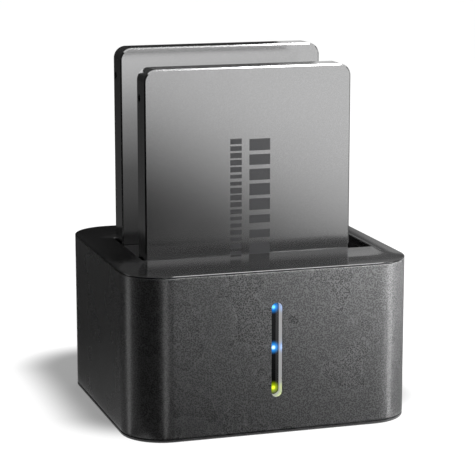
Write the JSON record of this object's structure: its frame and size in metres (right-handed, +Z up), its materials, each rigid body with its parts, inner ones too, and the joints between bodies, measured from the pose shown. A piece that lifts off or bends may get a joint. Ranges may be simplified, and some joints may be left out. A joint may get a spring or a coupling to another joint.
{
  "type": "drive duplicator",
  "caption": "Desktop docking station that holds upright 2.5 inch drives in a stepped well and copies one to the other without a computer.",
  "frame": {"origin": "on the resting surface, under the middle of the dock", "axes": "+X to the right of someone facing the indicator slot, +Y towards the ports at the back, +Z up"},
  "size_m": [0.096, 0.088, 0.1202],
  "materials": {
    "shell_black": "fine spark-textured moulding, satin",
    "bezel_black": "smooth satin moulding",
    "base_black": "plain moulding",
    "foot_rubber": "matte rubber",
    "screw_steel": "nickel-plated",
    "well_black": "plain moulding",
    "board_green": "solder mask",
    "chip_black": "moulded epoxy",
    "can_metal": "drawn can",
    "socket_black": "moulded connector body",
    "contact_gold": "gold flash",
    "liner_bright": "bright plating",
    "lens_black": "polished dark lens",
    "lamp_blue": "lit blue lamp",
    "lamp_green": "lit yellow-green lamp",
    "port_steel": "folded steel",
    "switch_black": "smooth moulding",
    "drive_metal": "fine bead-blasted, satin"
  },
  "bodies": {
    "root": {"outer_shell": "shell_black", "top_bezel": "bezel_black", "base_plate": "base_black", "rubber_feet": "foot_rubber", "base_screws": "screw_steel", "board_screws": "screw_steel", "well_screws": "screw_steel", "drive_well": "well_black", "main_board": "board_green", "bridge_chip": "chip_black", "copy_controller": "chip_black", "memory_chip": "chip_black", "crystal": "can_metal", "inductor": "chip_black", "capacitors": "can_metal", "front_socket": "socket_black", "front_socket_contacts": "contact_gold", "rear_socket": "socket_black", "rear_socket_contacts": "contact_gold", "rear_socket_riser": "socket_black", "indicator_liner": "liner_bright", "indicator_lens": "lens_black", "status_lamps": "lamp_blue", "power_lamp": "lamp_green", "lamp_board": "board_green", "lamp_screws": "screw_steel", "lamp_header": "socket_black", "usb_shell": "port_steel", "usb_tongue": "socket_black", "power_jack": "socket_black", "power_jack_pin": "port_steel", "switch_housing": "switch_black", "switch_pin": "port_steel", "copy_switch": "socket_black"},
    "power_rocker": {"power_rocker": "switch_black"},
    "copy_button": {"copy_button": "switch_black"},
    "front_drive": {"front_drive_cover": "drive_metal", "front_drive_tray": "drive_metal", "front_drive_screws": "screw_steel", "front_drive_board": "board_green", "front_drive_plug": "socket_black", "front_drive_contacts": "contact_gold"},
    "rear_drive": {"rear_drive_cover": "drive_metal", "rear_drive_tray": "drive_metal", "rear_drive_screws": "screw_steel", "rear_drive_board": "board_green", "rear_drive_plug": "socket_black", "rear_drive_contacts": "contact_gold"}
  },
  "joints": [
    {"name": "front_drive_lift", "type": "slide", "parent": "root", "child": "front_drive", "axis": [0, 0, 1], "range_m": [0, 0.042]},
    {"name": "rear_drive_lift", "type": "slide", "parent": "root", "child": "rear_drive", "axis": [0, 0, 1], "range_m": [0, 0.038]},
    {"name": "power_rocker_tilt", "type": "hinge", "parent": "root", "child": "power_rocker", "pos_m": [-0.025, 0.039, 0.0143], "axis": [1, 0, 0], "range_deg": [0, 18]},
    {"name": "copy_button_push", "type": "slide", "parent": "root", "child": "copy_button", "axis": [0, -1, 0], "range_m": [0, 0.0008], "stiffness_N_per_m": 600}
  ]
}
